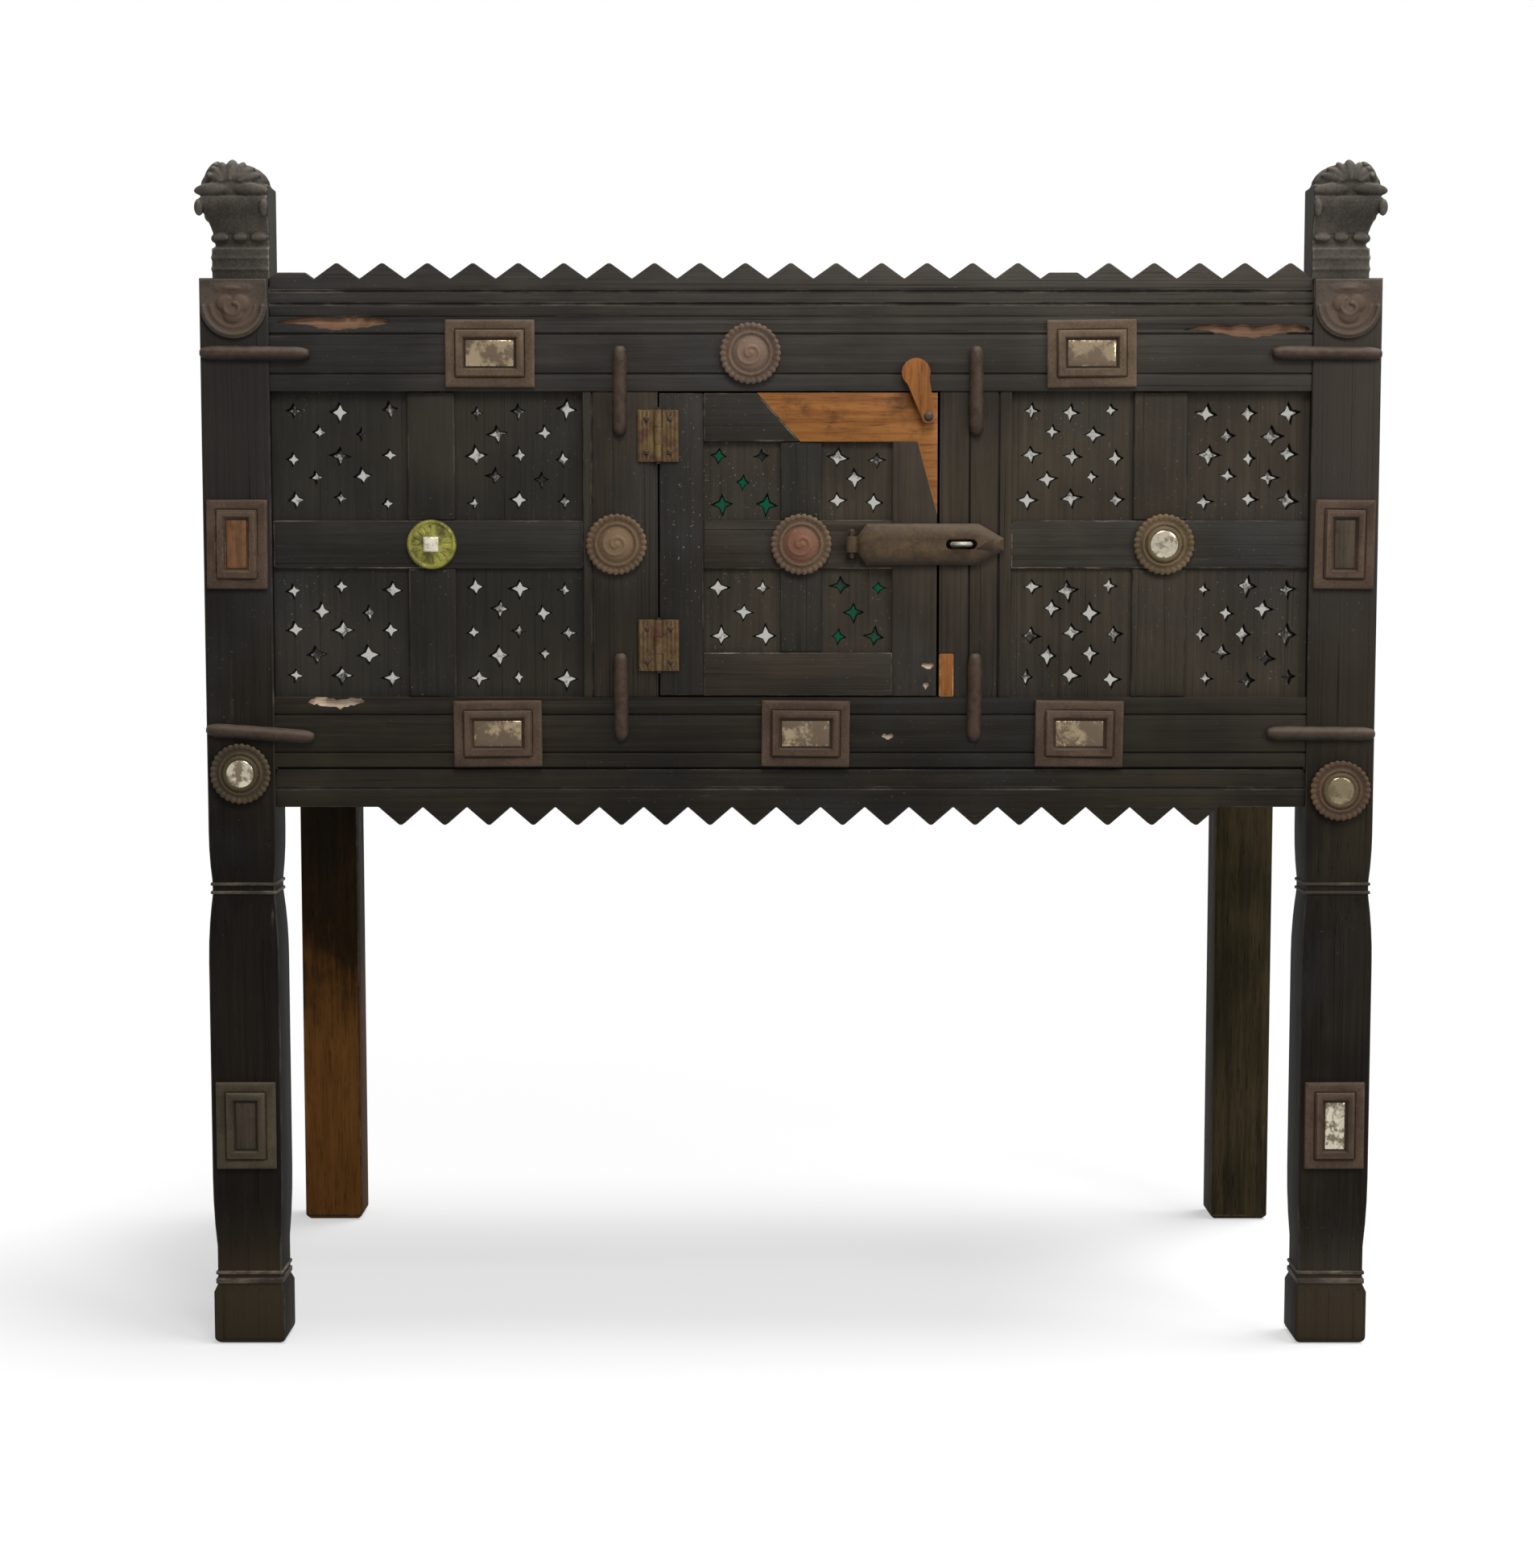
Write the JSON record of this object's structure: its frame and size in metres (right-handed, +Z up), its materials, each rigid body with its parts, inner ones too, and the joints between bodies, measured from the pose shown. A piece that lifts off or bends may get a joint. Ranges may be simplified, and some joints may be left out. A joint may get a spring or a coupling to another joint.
{
  "type": "dowry chest",
  "caption": "Old dark wooden dowry chest on tall posts with carved finials, pierced star panels over mirror, a small hinged door with hasp, and zigzag crest and apron",
  "frame": {"origin": "on the floor under the middle of the chest's bounding box", "axes": "+X to the right as seen from the front, +Y to the back, +Z up; the door faces -Y"},
  "size_m": [1.17, 0.5774, 1.189],
  "materials": {
    "dark_wood": "old black-brown paint",
    "carved_wood": "worn rust-brown paint",
    "bare_wood": "bare repair wood",
    "plain_boards": "plain old boards",
    "mirror": "old cloudy mirror",
    "green_mirror": "green-tinted mirror",
    "iron": "forged, dark",
    "brass": "tarnished"
  },
  "bodies": {
    "frame": {"apron_board": "dark_wood", "back_boards": "plain_boards", "back_bottom_rail": "dark_wood", "back_post_left": "dark_wood", "back_post_right": "dark_wood", "back_top_rail": "dark_wood", "bay_backing_boards": "plain_boards", "brass_disc": "brass", "corner_cramps": "iron", "crest_board": "dark_wood", "door_jamb_left": "dark_wood", "door_jamb_right": "dark_wood", "floor_bearers": "plain_boards", "floor_boards": "plain_boards", "frame_rosettes": "carved_wood", "front_bottom_rail": "dark_wood", "front_post_left": "dark_wood", "front_post_right": "dark_wood", "front_top_rail": "dark_wood", "hinge_jamb_leaves": "brass", "hinge_pins": "brass", "jamb_cramps": "iron", "jamb_patch": "bare_wood", "left_bay_cross_rail": "dark_wood", "left_bay_fret_panels": "dark_wood", "left_bay_mirrors": "mirror", "left_bay_muntins": "dark_wood", "left_side_boards": "plain_boards", "left_side_rails": "dark_wood", "lock_staple": "iron", "plaque_mirrors": "mirror", "post_plaques": "carved_wood", "post_shields": "carved_wood", "rail_plaques": "carved_wood", "right_bay_cross_rail": "dark_wood", "right_bay_fret_panels": "dark_wood", "right_bay_mirrors": "mirror", "right_bay_muntins": "dark_wood", "right_side_boards": "plain_boards", "right_side_rails": "dark_wood", "rosette_centres": "mirror", "top_boards": "plain_boards"},
    "door": {"door_backing": "plain_boards", "door_bottom_rail": "dark_wood", "door_clear_mirrors": "mirror", "door_cross_rail": "dark_wood", "door_fret_panels": "dark_wood", "door_green_mirrors": "green_mirror", "door_hinge_stile": "dark_wood", "door_lock_stile": "dark_wood", "door_muntins": "dark_wood", "door_patch": "bare_wood", "door_rosette": "carved_wood", "door_top_rail": "dark_wood", "hinge_door_leaves": "brass", "turn_button_nail": "iron", "wire_staple": "iron"},
    "hasp": {"hasp": "iron"},
    "turn_button": {"turn_button": "carved_wood"}
  },
  "joints": [
    {"name": "door_hinge", "type": "hinge", "parent": "frame", "child": "door", "pos_m": [-0.13125, -0.27205, 0.81], "axis": [0, 0, -1], "range_deg": [0, 120]},
    {"name": "hasp_hinge", "type": "hinge", "parent": "door", "child": "hasp", "pos_m": [0.06039, -0.2726, 0.81], "axis": [0, 0, -1], "range_deg": [0, 120]},
    {"name": "turn_button_pivot", "type": "hinge", "parent": "door", "child": "turn_button", "pos_m": [0.13589, -0.26955, 0.9355], "axis": [0, 1, 0], "range_deg": [-75, 40]}
  ]
}
